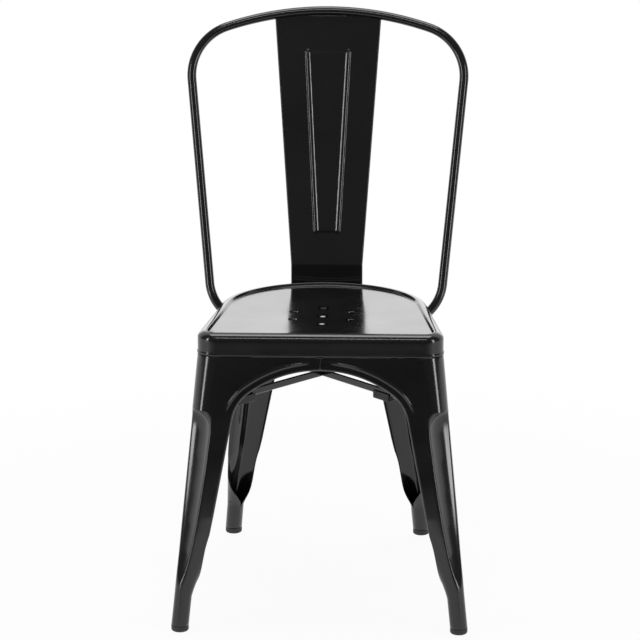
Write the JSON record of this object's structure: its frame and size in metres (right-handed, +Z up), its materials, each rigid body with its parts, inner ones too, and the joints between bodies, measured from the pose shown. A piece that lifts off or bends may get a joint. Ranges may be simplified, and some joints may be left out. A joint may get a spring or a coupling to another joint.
{
  "type": "metal bistro chair",
  "caption": "Pressed sheet steel stacking chair with a tubular back hoop, a flared ribbed splat, arched tapering legs, a flat cross brace and rubber foot caps.",
  "frame": {"origin": "on the floor, under the middle of the chair's bounding box", "axes": "+X to the right of the picture (the sitter's left), +Y to the back, +Z up; the front faces -Y"},
  "size_m": [0.439, 0.4926, 0.8476],
  "materials": {
    "black_enamel": "gloss powder coat",
    "black_rubber": "satin moulded rubber"
  },
  "bodies": {
    "root": {"seat_pan": "black_enamel", "front_left_leg": "black_enamel", "front_right_leg": "black_enamel", "rear_left_leg": "black_enamel", "rear_right_leg": "black_enamel", "back_hoop": "black_enamel", "back_splat": "black_enamel", "brace_bar": "black_enamel", "brace_half_front": "black_enamel", "brace_half_rear": "black_enamel", "bumper_front_left": "black_rubber", "bumper_front_right": "black_rubber", "bumper_rear_left": "black_rubber", "bumper_rear_right": "black_rubber", "foot_cap_front_left": "black_rubber", "foot_cap_front_right": "black_rubber", "foot_cap_rear_left": "black_rubber", "foot_cap_rear_right": "black_rubber"}
  },
  "joints": []
}
